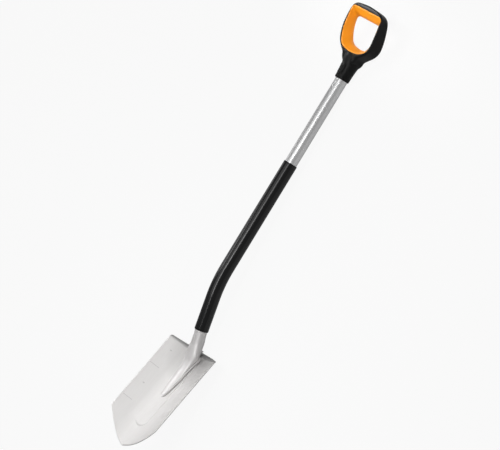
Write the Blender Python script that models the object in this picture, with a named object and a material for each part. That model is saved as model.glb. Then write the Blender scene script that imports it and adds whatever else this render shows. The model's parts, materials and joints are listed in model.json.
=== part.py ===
"""Pointed spade with a bent tube shaft and a D handle, lying on its back with the hollow of the blade up.

Every piece is drawn in the spade's own frame: x to the right, y to the back, z up the upper
shaft, with the shaft's upper axis at x = y = 0 and the blade's tip at z = 0. An empty then lays
the whole spade on the floor, resting on the tread's rear edge and the handle's socket.
"""

import math

import bmesh
import bpy
from mathutils import Matrix, Vector

# Blade
BLADE_WIDTH = 0.184
BLADE_LENGTH = 0.2885
POINT_LENGTH = 0.0655
POINT_START_SLOPE = 0.284
SHEET = 0.0022
DISH_DEPTH = 0.0275
BLADE_LEAN = math.radians(12.3)
# How far the middle of the blade's top lies behind the shaft's axis
BLADE_BEHIND_AXIS = 0.020666
POINT_MARGIN = 0.0015
TREAD_RADIUS = 0.007
TREAD_BEND = math.radians(68)
TREAD_SETBACK = 0.014
TREAD_CORNER_TURN = 0.003
TREAD_STRAIGHT_WIDTH = 0.068
TREAD_RISE = 0.003
TONGUE_HALF_WIDTH = 0.0225
TONGUE_END = 0.0625
TONGUE_HEIGHT = 0.0016
TONGUE_WALL = 0.005

# Shaft
TUBE_RADIUS = 0.0155
TUBE_WALL = 0.0016
BEND_HEIGHT = 0.450
BEND_ANGLE = math.radians(15.3)
BEND_RADIUS = 0.290
SOCKET_CONE_LENGTH = 0.138
# Socket cone from its tip: share of its length, centre in front of the blade, half width, half height
CONE_STATIONS = (
    (0.0, 0.0026, 0.0026, 0.0020),
    (0.055, 0.0029, 0.0047, 0.0028),
    (0.17, 0.0034, 0.0082, 0.0038),
    (0.29, 0.0038, 0.0105, 0.0047),
    (0.40, 0.0042, 0.0128, 0.0054),
    (0.52, 0.0047, 0.0136, 0.0061),
    (0.63, 0.0063, 0.0148, 0.0073),
    (0.75, 0.0092, 0.0178, 0.0096),
    (0.87, 0.0127, 0.0224, 0.0140),
    (0.95, 0.0172, 0.0206, 0.0154),
    (1.04, 0.0225, 0.0186, 0.0162),
    (1.087, 0.0258, 0.0176, 0.0167),
    (1.132, 0.0292, 0.0174, 0.0171),
    (1.184, 0.0334, 0.0171, 0.0171),
)
CONE_TOP_SWELL = 0.0008
CONE_TOP_BELOW_SLEEVE = 0.006
TUBE_BELOW_SLEEVE = 0.003
BORE_ABOVE_SLEEVE_END = 0.004
SLEEVE_WALL = 0.0016
SLEEVE_LIP = 0.0008
SLEEVE_ABOVE_BLADE = 0.038
SLEEVE_TOP = 0.779

# Handle, with heights above its socket's lower end
HANDLE_START = 1.0110
SOCKET_RINGS = (
    (0.0, 0.0178),
    (0.0012, 0.0187),
    (0.020, 0.0192),
    (0.036, 0.0205),
    (0.046, 0.0222),
    (0.060, 0.0215),
    (0.072, 0.0170),
)
SOCKET_PLACES = (0.0, 0.0012, 0.006, 0.010, 0.014, 0.020, 0.028, 0.034, 0.039, 0.044, 0.050, 0.060, 0.072)
SOCKET_STEPS = 72
SOCKET_BORE_DEPTH = 0.046
BORE_OVERRUN = 0.01
RIB_HEIGHT = 0.0028
RIB_HALF_ANGLE = math.radians(23)
RIB_EDGE_ANGLE = math.radians(10)
RIB_START = 0.008
RIB_END = 0.044
RIB_START_RAMP = 0.006
RIB_END_RAMP = 0.010
HANDLE_SETBACK = (
    (0.0, -0.0008),
    (0.040, -0.0016),
    (0.055, -0.0045),
    (0.070, -0.0085),
    (0.085, -0.0098),
    (0.100, -0.0117),
    (0.120, -0.0172),
    (0.150, -0.0253),
    (0.184, -0.0345),
)
HANDLE_DEPTH = (
    (0.040, 0.036),
    (0.070, 0.034),
    (0.090, 0.0345),
    (0.105, 0.0370),
    (0.120, 0.0360),
    (0.150, 0.0315),
    (0.184, 0.0265),
)
HANDLE_OUTLINE = (
    (0.0, 0.040),
    (0.0150, 0.042),
    (0.0235, 0.050),
    (0.0285, 0.060),
    (0.0413, 0.070),
    (0.0530, 0.080),
    (0.0600, 0.090),
    (0.0632, 0.101),
    (0.0652, 0.118),
    (0.0650, 0.134),
    (0.0632, 0.150),
    (0.0603, 0.163),
    (0.0560, 0.172),
    (0.0470, 0.1785),
    (0.0330, 0.1815),
    (0.0, 0.1838),
)
HANDLE_EDGE = (
    (-1.0, 0.0034),
    (-0.90, 0.0011),
    (-0.74, 0.0),
    (0.74, 0.0),
    (0.90, 0.0011),
    (1.0, 0.0034),
)
# Hand opening from front to back: share of the depth, half width, top and bottom
OPENING_LOOPS = (
    (-0.94, 0.0560, 0.1693, 0.0702),
    (-0.60, 0.0556, 0.1652, 0.0745),
    (-0.15, 0.0552, 0.1592, 0.0806),
    (0.33, 0.0552, 0.1552, 0.0846),
    (0.94, 0.0572, 0.1546, 0.0855),
)
# Right half of its outline: share of the half width, and height above its bottom or below its top
OPENING_LOWER = (
    (0.0, 0.0),
    (0.30, 0.0012),
    (0.56, 0.0045),
    (0.78, 0.0120),
    (0.92, 0.0250),
    (0.985, 0.0400),
    (1.0, 0.0560),
)
OPENING_UPPER = (
    (0.995, 0.0150),
    (0.980, 0.0080),
    (0.940, 0.0032),
    (0.87, 0.0008),
    (0.74, 0.0),
    (0.40, 0.0),
    (0.0, 0.0),
)
OPENING_STEPS = 9
LINER_WALL = 0.0022
CUT_OVERRUN = 0.35
SCREW_HEIGHT = 0.024
SCREW_RADIUS = 0.0021
SCREW_HEAD_RADIUS = 0.0042
SCREW_HEAD_HEIGHT = 0.0012
SCREW_HEAD_EDGE = 0.0006
SCREW_SINK = 0.0004
SCREW_PAST_WALL = 0.004
SCREW_TAPER = 0.0012
SCREW_POINT_SHARE = 0.6

# Weld beads
BEAD_RADIUS = 0.0019
BEAD_TAPER = (0.45, 0.8, 1.0)
BEAD_LIFT = 1.15
BEAD_PAST_CONE_TIP = 0.006
BEAD_BELOW_BEND = 0.002
TREAD_BEAD_TURNS = (math.radians(200), math.radians(340))

# Gap that touching solids keep
GAP = 0.0003

ROUND_STEPS = 40

SLEEVE_BOTTOM = BLADE_LENGTH + SLEEVE_ABOVE_BLADE
AXIS_SETBACK = (BEND_HEIGHT - BLADE_LENGTH * math.cos(BLADE_LEAN)) * math.tan(BEND_ANGLE)
TIP_SETBACK = AXIS_SETBACK + BLADE_BEHIND_AXIS - BLADE_LENGTH * math.sin(BLADE_LEAN)


def clear_scene():
    for item in list(bpy.data.objects):
        bpy.data.objects.remove(item, do_unlink=True)


def material(name, colour, roughness, metallic):
    made = bpy.data.materials.new(name)
    made.use_nodes = True
    shader = made.node_tree.nodes["Principled BSDF"]
    shader.inputs["Base Color"].default_value = (*colour, 1.0)
    shader.inputs["Roughness"].default_value = roughness
    shader.inputs["Metallic"].default_value = metallic
    return made


def smooth_step(value):
    value = min(max(value, 0.0), 1.0)
    return value * value * (3 - 2 * value)


def through(stations, at):
    """Smooth value at one place from a list of (place, value) stations in rising order."""
    if at <= stations[0][0]:
        return stations[0][1]
    if at >= stations[-1][0]:
        return stations[-1][1]
    for index in range(len(stations) - 1):
        start, end = stations[index], stations[index + 1]
        if at <= end[0]:
            before = stations[max(index - 1, 0)]
            after = stations[min(index + 2, len(stations) - 1)]
            span = end[0] - start[0]
            share = (at - start[0]) / span
            rise_in = (end[1] - before[1]) / (end[0] - before[0]) * span
            rise_out = (after[1] - start[1]) / (after[0] - start[0]) * span
            return (
                (2 * share**3 - 3 * share**2 + 1) * start[1]
                + (share**3 - 2 * share**2 + share) * rise_in
                + (3 * share**2 - 2 * share**3) * end[1]
                + (share**3 - share**2) * rise_out
            )
    return stations[-1][1]


def new_object(name, mesh_maker, finish):
    shape = bmesh.new()
    mesh_maker(shape)
    mesh = bpy.data.meshes.new(name)
    shape.to_mesh(mesh)
    shape.free()
    mesh.materials.append(finish)
    mesh.shade_smooth()
    mesh.set_sharp_from_angle(angle=math.radians(35))
    made = bpy.data.objects.new(name, mesh)
    bpy.context.scene.collection.objects.link(made)
    return made


def skin(shape, rings, closed_ring=False):
    """Bridge rings of points with triangles; with open ends the first and last ring are filled."""
    loops = [[shape.verts.new(point) for point in ring] for ring in rings]
    pairs = list(zip(loops, loops[1:]))
    if closed_ring:
        pairs.append((loops[-1], loops[0]))
    for lower, upper in pairs:
        count = len(lower)
        for index in range(count):
            following = (index + 1) % count
            shape.faces.new((lower[index], lower[following], upper[following]))
            shape.faces.new((lower[index], upper[following], upper[index]))
    if not closed_ring:
        shape.faces.new(list(reversed(loops[0])))
        shape.faces.new(loops[-1])
    bmesh.ops.recalc_face_normals(shape, faces=shape.faces)
    if shape.calc_volume(signed=True) < 0:
        bmesh.ops.reverse_faces(shape, faces=shape.faces)


# The blade's frame: across to the right, up along its sides from the tip, and out to the front


def from_blade(across, up, out):
    return Vector((
        across,
        TIP_SETBACK + up * math.sin(BLADE_LEAN) - out * math.cos(BLADE_LEAN),
        up * math.cos(BLADE_LEAN) + out * math.sin(BLADE_LEAN),
    ))


def to_blade(y, z):
    """(up, out) of a point in the middle plane."""
    back = y - TIP_SETBACK
    up = back * math.sin(BLADE_LEAN) + z * math.cos(BLADE_LEAN)
    out = z * math.sin(BLADE_LEAN) - back * math.cos(BLADE_LEAN)
    return up, out


def dish(across):
    half = BLADE_WIDTH / 2
    return DISH_DEPTH * (abs(across) / half) ** 1.9


def tongue(across, up):
    """Height of the pressed tongue, with a round lower end."""
    centre = TONGUE_END + TONGUE_HALF_WIDTH
    if up < centre:
        reach = math.hypot(across, up - centre)
    else:
        reach = abs(across)
    return TONGUE_HEIGHT * smooth_step((TONGUE_HALF_WIDTH - reach) / TONGUE_WALL + 0.5)


def point_outline(across):
    """Height of the blade's lower edge above its tip."""
    half = BLADE_WIDTH / 2
    curve = (POINT_LENGTH - POINT_START_SLOPE * half) / half**2
    return POINT_START_SLOPE * abs(across) + curve * across**2


def blade_front(across, up):
    return dish(across) + tongue(across, up)


def tread_bend_start(across):
    half = BLADE_WIDTH / 2
    return BLADE_LENGTH - TREAD_RADIUS + TREAD_RISE * (1 - (across / half) ** 2)


def tread_run(across):
    """Length of sheet from the start of the tread's bend to its rear edge.

    The rear edge is straight in the middle, and slants forward from there to the blade's corners.
    """
    half, half_straight = BLADE_WIDTH / 2, TREAD_STRAIGHT_WIDTH / 2
    share = min(max((abs(across) - half_straight) / (half - half_straight), 0.0), 1.0)
    corner = blade_front(half, tread_bend_start(half)) - TREAD_CORNER_TURN
    rear = -TREAD_SETBACK + (corner + TREAD_SETBACK) * share
    behind = blade_front(across, tread_bend_start(across)) - rear
    arc_depth = TREAD_RADIUS * (1 - math.cos(TREAD_BEND))
    if behind < arc_depth:
        return TREAD_RADIUS * math.acos(1 - behind / TREAD_RADIUS)
    return TREAD_RADIUS * TREAD_BEND + (behind - arc_depth) / math.sin(TREAD_BEND)


def tread_point(across, run):
    """Point of the tread's front face, a run past the start of its bend."""
    bend = tread_bend_start(across)
    base = blade_front(across, bend)
    turn = min(run / TREAD_RADIUS, TREAD_BEND)
    flat = run - TREAD_RADIUS * turn
    up = bend + TREAD_RADIUS * math.sin(turn) + flat * math.cos(TREAD_BEND)
    behind = TREAD_RADIUS * (1 - math.cos(turn)) + flat * math.sin(TREAD_BEND)
    return from_blade(across, up, base - behind)


def blade_columns():
    half = BLADE_WIDTH / 2
    inner = TONGUE_HALF_WIDTH
    wall = TONGUE_WALL / 2
    places = [0.0, inner * 0.35, inner * 0.7, inner - wall, inner, inner + wall]
    outer_steps = 11
    for step in range(1, outer_steps + 1):
        places.append(inner + wall + (half - inner - wall) * step / outer_steps)
    return [-place for place in reversed(places[1:])] + places


def blade_column(across):
    """Points of one column, from the lower edge to the tread's rear edge."""
    low = point_outline(across)
    bend = tread_bend_start(across)
    level = POINT_LENGTH + POINT_MARGIN
    lower_steps = 9
    fan = [low + (level - low) * step / lower_steps for step in range(lower_steps + 1)]
    round_rows = [level + TONGUE_HALF_WIDTH * step / 6 for step in range(1, 7)]
    start = round_rows[-1]
    straight_steps = 18
    rows = fan + round_rows
    rows += [start + (bend - start) * step / straight_steps for step in range(1, straight_steps + 1)]
    points = [from_blade(across, up, blade_front(across, up)) for up in rows]
    tread_steps = 11
    run = tread_run(across)
    points += [tread_point(across, run * step / tread_steps) for step in range(1, tread_steps + 1)]
    return points


def make_blade(finish):
    def grid(shape):
        columns = [[shape.verts.new(point) for point in blade_column(across)] for across in blade_columns()]
        for left, right in zip(columns, columns[1:]):
            for row in range(len(left) - 1):
                shape.faces.new((left[row], right[row], right[row + 1], left[row + 1]))
        bmesh.ops.recalc_face_normals(shape, faces=shape.faces)
        middle = columns[len(columns) // 2][12]
        if middle.link_faces[0].normal.y > 0:
            bmesh.ops.reverse_faces(shape, faces=shape.faces)

    made = new_object("blade", grid, finish)
    wall = made.modifiers.new("sheet", "SOLIDIFY")
    wall.thickness = SHEET
    wall.offset = -1
    wall.use_even_offset = True
    return made


# Shaft: the axis runs straight down from the handle, round the bend, and on to the blade


def bend_length():
    return BEND_RADIUS * BEND_ANGLE


def bend_tangent():
    return BEND_RADIUS * math.tan(BEND_ANGLE / 2)


def axis_point(height):
    """Point and direction of the shaft's axis for a place given as a height on the straightened shaft."""
    upper_end = BEND_HEIGHT + bend_tangent()
    if height >= upper_end:
        return Vector((0, 0, height)), Vector((0, 0, 1))
    run = upper_end - height
    if run < bend_length():
        turn = run / BEND_RADIUS
        point = Vector((0, BEND_RADIUS * (1 - math.cos(turn)), upper_end - BEND_RADIUS * math.sin(turn)))
        return point, Vector((0, -math.sin(turn), math.cos(turn)))
    down = Vector((0, math.sin(BEND_ANGLE), -math.cos(BEND_ANGLE)))
    corner = Vector((0, 0, BEND_HEIGHT))
    return corner + down * (bend_tangent() + run - bend_length()), -down


def round_section(height, radius, steps=ROUND_STEPS):
    centre, along = axis_point(height)
    side = Vector((1, 0, 0))
    front = side.cross(along)
    ring = []
    for index in range(steps):
        turn = 2 * math.pi * index / steps
        ring.append(centre + side * radius * math.cos(turn) + front * radius * math.sin(turn))
    return ring


def shaft_heights(bottom, top):
    """Section places: a few on the straight runs and close ones in the bend."""
    upper_end = BEND_HEIGHT + bend_tangent()
    lower_end = upper_end - bend_length()
    bend_steps = 9
    places = {bottom, top}
    for step in range(bend_steps + 1):
        places.add(lower_end + (upper_end - lower_end) * step / bend_steps)
    return sorted(place for place in places if bottom <= place <= top)


def cone_stations():
    """Socket cone in the blade's own frame: up, centre out, half width, half height."""
    tip = BLADE_LENGTH - SOCKET_CONE_LENGTH
    stations = [(tip + share * SOCKET_CONE_LENGTH, *sizes) for share, *sizes in CONE_STATIONS]
    centre, _ = axis_point(SLEEVE_BOTTOM - CONE_TOP_BELOW_SLEEVE)
    top_up, top_out = to_blade(centre.y, centre.z)
    top_radius = TUBE_RADIUS + CONE_TOP_SWELL
    return stations + [(top_up, top_out - CONE_TOP_SWELL, top_radius, top_radius)]


def cone_value(column, up):
    return through([(station[0], station[column]) for station in cone_stations()], up)


def cone_section(up, steps=ROUND_STEPS):
    """Oval section of the socket cone, flattened where it lies on the blade."""
    centre, half_width, half_height = (cone_value(column, up) for column in (1, 2, 3))
    ring = []
    for index in range(steps):
        turn = 2 * math.pi * index / steps
        across = half_width * math.cos(turn)
        out = centre + half_height * math.sin(turn)
        if up < BLADE_LENGTH:
            out = max(out, blade_front(across, up) + GAP)
        ring.append(from_blade(across, up, out))
    return ring


def make_tube(finish, screw_cutter):
    top = HANDLE_START + SOCKET_BORE_DEPTH - GAP * 2
    bottom = SLEEVE_BOTTOM - TUBE_BELOW_SLEEVE
    bore_end = SLEEVE_BOTTOM + BORE_ABOVE_SLEEVE_END

    def tube(shape):
        stations = cone_stations()
        tip_up, top_up = stations[0][0], stations[-1][0]
        cone_steps = 34
        rings = []
        for step in range(cone_steps):
            share = step / cone_steps
            rings.append(cone_section(tip_up + (top_up - tip_up) * share))
        rings += [round_section(h, TUBE_RADIUS) for h in shaft_heights(bottom, top)]
        bore = [round_section(h, TUBE_RADIUS - TUBE_WALL) for h in shaft_heights(bore_end, top)]
        skin(shape, rings + bore[::-1])

    made = new_object("shaft_tube", tube, finish)
    cut(made, screw_cutter)
    return made


def make_sleeve(finish):
    lip = SLEEVE_LIP
    outer = TUBE_RADIUS + GAP + SLEEVE_WALL
    inner = TUBE_RADIUS + GAP

    def sleeve(shape):
        rings = [round_section(SLEEVE_BOTTOM, outer - lip), round_section(SLEEVE_BOTTOM + lip, outer)]
        middle = shaft_heights(SLEEVE_BOTTOM + lip, SLEEVE_TOP - lip)[1:-1]
        rings += [round_section(height, outer) for height in middle]
        rings += [round_section(SLEEVE_TOP - lip, outer), round_section(SLEEVE_TOP, outer - lip)]
        rings.append(round_section(SLEEVE_TOP, inner))
        rings += [round_section(height, inner) for height in reversed(middle)]
        rings.append(round_section(SLEEVE_BOTTOM, inner))
        skin(shape, rings, closed_ring=True)

    return new_object("grip_sleeve", sleeve, finish)


# Weld beads


def bead(name, path, radius, finish):
    """Round bead along a path, tapering at both ends."""

    def body(shape):
        rings = []
        count = len(path)
        steps = 10
        for index, centre in enumerate(path):
            before, after = path[max(index - 1, 0)], path[min(index + 1, count - 1)]
            along = (after - before).normalized()
            side = along.cross(Vector((0, 1, 0))).normalized()
            up = side.cross(along)
            ends = min(index, count - 1 - index)
            size = radius * BEAD_TAPER[min(ends, 2)]
            ring = []
            for step in range(steps):
                turn = 2 * math.pi * step / steps
                ring.append(centre + side * size * math.cos(turn) + up * size * math.sin(turn))
            rings.append(ring)
        skin(shape, rings)

    return new_object(name, body, finish)


def side_bead_path(side):
    start = BLADE_LENGTH - SOCKET_CONE_LENGTH + BEAD_PAST_CONE_TIP
    end = BLADE_LENGTH - TREAD_RADIUS - BEAD_BELOW_BEND
    steps = 24
    path = []
    for step in range(steps + 1):
        up = start + (end - start) * step / steps
        clear = BEAD_RADIUS + GAP
        out = blade_front(cone_value(2, up), up) + clear * BEAD_LIFT
        rise = min(abs(out - cone_value(1, up)) / (cone_value(3, up) + clear), 1.0)
        across = (cone_value(2, up) + clear) * math.sqrt(1 - rise**2) + GAP
        path.append(from_blade(side * across, up, out))
    return path


def tread_bead_path():
    """Bead behind the tube, between it and the top of the tread."""
    up = BLADE_LENGTH + TREAD_RISE + BEAD_RADIUS + GAP
    centre = cone_value(1, up)
    half_width = cone_value(2, up) + BEAD_RADIUS + GAP
    half_height = cone_value(3, up) + BEAD_RADIUS + GAP
    steps = 20
    path = []
    for step in range(steps + 1):
        turn = TREAD_BEAD_TURNS[0] + (TREAD_BEAD_TURNS[1] - TREAD_BEAD_TURNS[0]) * step / steps
        path.append(from_blade(half_width * math.cos(turn), up, centre + half_height * math.sin(turn)))
    return path


# Handle


def from_handle(across, height, share):
    """share runs from -1 at the front to 1 at the back of the handle."""
    setback = through(HANDLE_SETBACK, height) + share * through(HANDLE_DEPTH, height) / 2
    return Vector((across, setback, HANDLE_START + height))


def ring_points(half_outline, steps_each):
    """Closed outline from (across, height) points of its right half, bottom to top, rounded through them."""
    closed = list(half_outline) + [(-x, h) for x, h in reversed(half_outline) if x > 1e-6]
    count = len(closed)
    points = []
    for index in range(count):
        before, start, end, after = (Vector(closed[(index + offset) % count]) for offset in (-1, 0, 1, 2))
        for step in range(steps_each):
            share = step / steps_each
            slope = (end - before) * share
            curve = (2 * before - 5 * start + 4 * end - after) * share**2
            twist = (3 * start - before - 3 * end + after) * share**3
            points.append(start + 0.5 * (slope + curve + twist))
    return points


def opening_outline(side, top, bottom):
    """Right half of the hand opening, with its side, top and bottom at the given places."""
    lower = [(side * share, bottom + above) for share, above in OPENING_LOWER]
    return lower + [(side * share, top - below) for share, below in OPENING_UPPER]


def opening_loops(grow, overrun=0.0):
    """Loops of the opening's wall from front to back, each moved outward by grow."""
    front, back = OPENING_LOOPS[0][0], OPENING_LOOPS[-1][0]
    shares = [front + (back - front) * step / OPENING_STEPS for step in range(OPENING_STEPS + 1)]
    if overrun:
        shares = [front - overrun] + shares + [back + overrun]
    loops = []
    for share in shares:
        side, top, bottom = (
            through([(loop[0], loop[column]) for loop in OPENING_LOOPS], share) for column in (1, 2, 3)
        )
        outline = ring_points(opening_outline(side + grow, top + grow, bottom - grow), 4)
        loops.append([from_handle(across, height, share) for across, height in outline])
    return loops


def make_liner(finish):
    def liner(shape):
        skin(shape, opening_loops(LINER_WALL) + opening_loops(0.0)[::-1], closed_ring=True)

    return new_object("handle_liner", liner, finish)


def hidden_cutter(name, mesh_maker):
    made = new_object(name, mesh_maker, bpy.data.materials[0])
    made.hide_render = True
    made.display_type = "WIRE"
    return made


def cut(target, cutter, operation="DIFFERENCE"):
    step = target.modifiers.new(cutter.name, "BOOLEAN")
    step.operation = operation
    step.object = cutter
    step.solver = "EXACT"


def rib(turn, height):
    """Extra radius of the socket where its front rib stands out."""
    off_front = abs((turn - math.radians(270) + math.pi) % (2 * math.pi) - math.pi)
    around = smooth_step((RIB_HALF_ANGLE - off_front) / RIB_EDGE_ANGLE + 0.5)
    begin = smooth_step((height - RIB_START) / RIB_START_RAMP)
    finish = smooth_step((RIB_END - height) / RIB_END_RAMP)
    return RIB_HEIGHT * around * begin * finish


def frame_plate(shape):
    outline = ring_points(HANDLE_OUTLINE, 4)
    middle = Vector((0, (OPENING_LOOPS[0][2] + OPENING_LOOPS[0][3]) / 2))
    loops = []
    for share, inset in HANDLE_EDGE:
        ring = []
        for point in outline:
            inward = point + (middle - point).normalized() * inset
            ring.append(from_handle(inward.x, inward.y, share))
        loops.append(ring)
    skin(shape, loops)
    for height, _ in HANDLE_SETBACK[2:-1]:
        caps = [face for face in shape.faces if len(face.verts) > 4]
        around = {edge for face in caps for edge in face.edges}
        around |= {corner for face in caps for corner in face.verts}
        bmesh.ops.bisect_plane(
            shape,
            geom=caps + list(around),
            plane_co=(0, 0, HANDLE_START + height),
            plane_no=(0, 0, 1),
            dist=1e-7,
        )
    bmesh.ops.triangulate(shape, faces=shape.faces)


def socket_shape(shape):
    rings = []
    for height in SOCKET_PLACES:
        ring = []
        for index in range(SOCKET_STEPS):
            turn = 2 * math.pi * index / SOCKET_STEPS
            radius = through(SOCKET_RINGS, height) + rib(turn, height)
            setback = through(HANDLE_SETBACK, height) + radius * math.sin(turn)
            ring.append(Vector((radius * math.cos(turn), setback, HANDLE_START + height)))
        rings.append(ring)
    skin(shape, rings)


def socket_bore(shape):
    low, high = HANDLE_START - BORE_OVERRUN, HANDLE_START + SOCKET_BORE_DEPTH
    skin(shape, [round_section(low, TUBE_RADIUS + GAP), round_section(high, TUBE_RADIUS + GAP)])


def hand_opening(shape):
    skin(shape, opening_loops(LINER_WALL + GAP, CUT_OVERRUN))


def make_body(finish, screw_cutter):
    made = new_object("handle_body", frame_plate, finish)
    cut(made, hidden_cutter("socket_shape", socket_shape), "UNION")
    cut(made, hidden_cutter("socket_bore", socket_bore))
    cut(made, hidden_cutter("hand_opening", hand_opening))
    cut(made, screw_cutter)
    return made


def screw_profile(clearance):
    """Rings of the handle's fixing screw, from its point inside the tube to its head at the back."""
    back = through(HANDLE_SETBACK, SCREW_HEIGHT) + through(SOCKET_RINGS, SCREW_HEIGHT) - SCREW_SINK
    point = TUBE_RADIUS - TUBE_WALL - SCREW_PAST_WALL
    seat = back - SCREW_HEAD_HEIGHT
    thread, head = SCREW_RADIUS + clearance, SCREW_HEAD_RADIUS + clearance
    low = point - clearance * 3
    high = back + clearance * 60
    return (
        (low, thread * SCREW_POINT_SHARE),
        (low + SCREW_TAPER, thread),
        (seat - clearance, thread),
        (seat - clearance, head),
        (high - SCREW_HEAD_EDGE, head),
        (high, head - SCREW_HEAD_EDGE),
    )


def screw_mesh(clearance):
    def screw(shape):
        rings = []
        for setback, radius in screw_profile(clearance):
            ring = []
            for index in range(24):
                turn = 2 * math.pi * index / 24
                ring.append(Vector((
                    radius * math.cos(turn), setback, HANDLE_START + SCREW_HEIGHT + radius * math.sin(turn)
                )))
            rings.append(ring)
        skin(shape, rings)

    return screw


def lay_down(pieces):
    """Lay the spade on its back: turn it until tread and handle both touch the floor, and centre it."""
    bpy.context.view_layer.update()
    graph = bpy.context.evaluated_depsgraph_get()
    to_back = Matrix(((0, 0, 1, 0), (-1, 0, 0, 0), (0, -1, 0, 0), (0, 0, 0, 1)))
    points = []
    for piece in pieces:
        mesh = piece.evaluated_get(graph).to_mesh()
        points += [to_back @ vertex.co for vertex in mesh.vertices]
        piece.evaluated_get(graph).to_mesh_clear()
    blade_side = [point for point in points if point.x < BEND_HEIGHT]
    handle_side = [point for point in points if point.x >= BEND_HEIGHT]
    pitch = 0.0
    for _ in range(30):
        turn = Matrix.Rotation(pitch, 3, "Y")
        low_blade = min((turn @ point for point in blade_side), key=lambda point: point.z)
        low_handle = min((turn @ point for point in handle_side), key=lambda point: point.z)
        pitch += (low_handle.z - low_blade.z) / (low_handle.x - low_blade.x)
    turn = Matrix.Rotation(pitch, 4, "Y")
    laid = [turn @ point for point in points]
    lows = [min(point[axis] for point in laid) for axis in range(3)]
    highs = [max(point[axis] for point in laid) for axis in range(3)]
    shift = Vector((-(lows[0] + highs[0]) / 2, -(lows[1] + highs[1]) / 2, -lows[2]))
    holder = bpy.data.objects.new("spade", None)
    holder.matrix_world = Matrix.Translation(shift) @ turn @ to_back
    bpy.context.scene.collection.objects.link(holder)
    print("laid down: pitch", round(math.degrees(pitch), 4), "shift", [round(value, 6) for value in shift])
    for item in bpy.data.objects:
        if item.type == "MESH":
            item.parent = holder


def main():
    clear_scene()
    steel = material("satin_steel", (0.74, 0.74, 0.73), 0.34, 1.0)
    tube_steel = material("tube_steel", (0.70, 0.71, 0.72), 0.30, 1.0)
    weld_steel = material("weld_steel", (0.42, 0.41, 0.40), 0.45, 1.0)
    black = material("black_plastic", (0.012, 0.012, 0.013), 0.42, 0.0)
    sleeve_black = material("sleeve_plastic", (0.006, 0.006, 0.007), 0.30, 0.0)
    orange = material("orange_plastic", (0.92, 0.30, 0.02), 0.40, 0.0)
    zinc = material("zinc_screw", (0.55, 0.55, 0.53), 0.35, 1.0)
    screw_cutter = hidden_cutter("screw_hole", screw_mesh(GAP))
    pieces = [
        make_blade(steel),
        make_tube(tube_steel, screw_cutter),
        bead("weld_left", side_bead_path(-1), BEAD_RADIUS, weld_steel),
        bead("weld_right", side_bead_path(1), BEAD_RADIUS, weld_steel),
        bead("weld_tread", tread_bead_path(), BEAD_RADIUS, weld_steel),
        make_sleeve(sleeve_black),
        make_body(black, screw_cutter),
        make_liner(orange),
        new_object("handle_screw", screw_mesh(0.0), zinc),
    ]
    lay_down(pieces)


main()
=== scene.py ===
"""The spade's look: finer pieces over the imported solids, procedural finishes, and a plain studio.

Shapes are drawn in the spade's own frame, as its solids are: x right, y back, z up the upper
shaft, with the blade's tip at z = 0. SPADE_TO_WORLD lays the spade on its back. Lengths are in
metres.
"""

import json
import math

import bmesh
import bpy
from mathutils import Matrix, Vector

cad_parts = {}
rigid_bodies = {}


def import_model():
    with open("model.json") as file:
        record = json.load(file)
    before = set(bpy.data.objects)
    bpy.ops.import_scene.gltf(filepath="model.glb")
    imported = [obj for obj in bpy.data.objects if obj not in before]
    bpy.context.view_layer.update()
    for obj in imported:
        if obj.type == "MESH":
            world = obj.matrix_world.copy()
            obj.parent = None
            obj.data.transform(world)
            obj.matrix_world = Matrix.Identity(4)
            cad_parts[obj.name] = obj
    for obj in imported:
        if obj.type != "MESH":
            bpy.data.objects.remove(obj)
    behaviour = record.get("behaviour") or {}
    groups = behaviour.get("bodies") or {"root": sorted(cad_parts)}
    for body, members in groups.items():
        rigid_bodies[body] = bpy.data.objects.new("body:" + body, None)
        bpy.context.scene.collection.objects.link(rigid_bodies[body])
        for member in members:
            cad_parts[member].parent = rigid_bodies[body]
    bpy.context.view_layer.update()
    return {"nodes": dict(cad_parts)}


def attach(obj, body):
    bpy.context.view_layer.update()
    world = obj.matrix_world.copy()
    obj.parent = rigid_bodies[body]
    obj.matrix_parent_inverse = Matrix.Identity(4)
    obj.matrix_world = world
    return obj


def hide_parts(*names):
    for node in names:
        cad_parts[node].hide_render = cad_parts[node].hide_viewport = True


# How the spade lies
PITCH = math.radians(4.6253)
SHIFT = Vector((-0.596709, 0.0, 0.104943))
TO_BACK = Matrix(((0, 0, 1, 0), (-1, 0, 0, 0), (0, -1, 0, 0), (0, 0, 0, 1)))
SPADE_TO_WORLD = Matrix.Translation(SHIFT) @ Matrix.Rotation(PITCH, 4, "Y") @ TO_BACK

# Blade
BLADE_WIDTH = 0.184
BLADE_LENGTH = 0.2885
POINT_LENGTH = 0.0655
POINT_START_SLOPE = 0.284
POINT_MARGIN = 0.0015
SHEET = 0.0022
DISH_DEPTH = 0.0275
DISH_EXPONENT = 1.9
BLADE_LEAN = math.radians(12.3)
TIP_SETBACK = 0.0052
TREAD_RADIUS = 0.007
TREAD_BEND = math.radians(68)
TREAD_SETBACK = 0.014
TREAD_CORNER_TURN = 0.003
TREAD_STRAIGHT_WIDTH = 0.068
TREAD_RISE = 0.003
TREAD_EDGE_TRIM = 0.0002
TREAD_CORNER_ROUND = 0.004
TREAD_CORNER_LEAST = 0.45
TONGUE_HALF_WIDTH = 0.0225
TONGUE_END = 0.0625
TONGUE_HEIGHT = 0.0016
TONGUE_WALL = 0.0032
TONGUE_LEFT_WALL = 0.045
# How soon the tongue's wall widens towards its left and above its end
TONGUE_FADE_LEFT = 2
TONGUE_FADE_UP = 1.2
# The dish is pressed in flat bands with soft creases between these places across it
FACET_PLACES = (0.0, 0.0225, 0.043, 0.073, 0.092)
FACET_SHARE = 0.45
CREASE_SOFTNESS = 0.0022
BLADE_COLUMNS = 184
POINT_ROWS = 44
BLADE_ROWS = 150
TREAD_ROWS = 26

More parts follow.
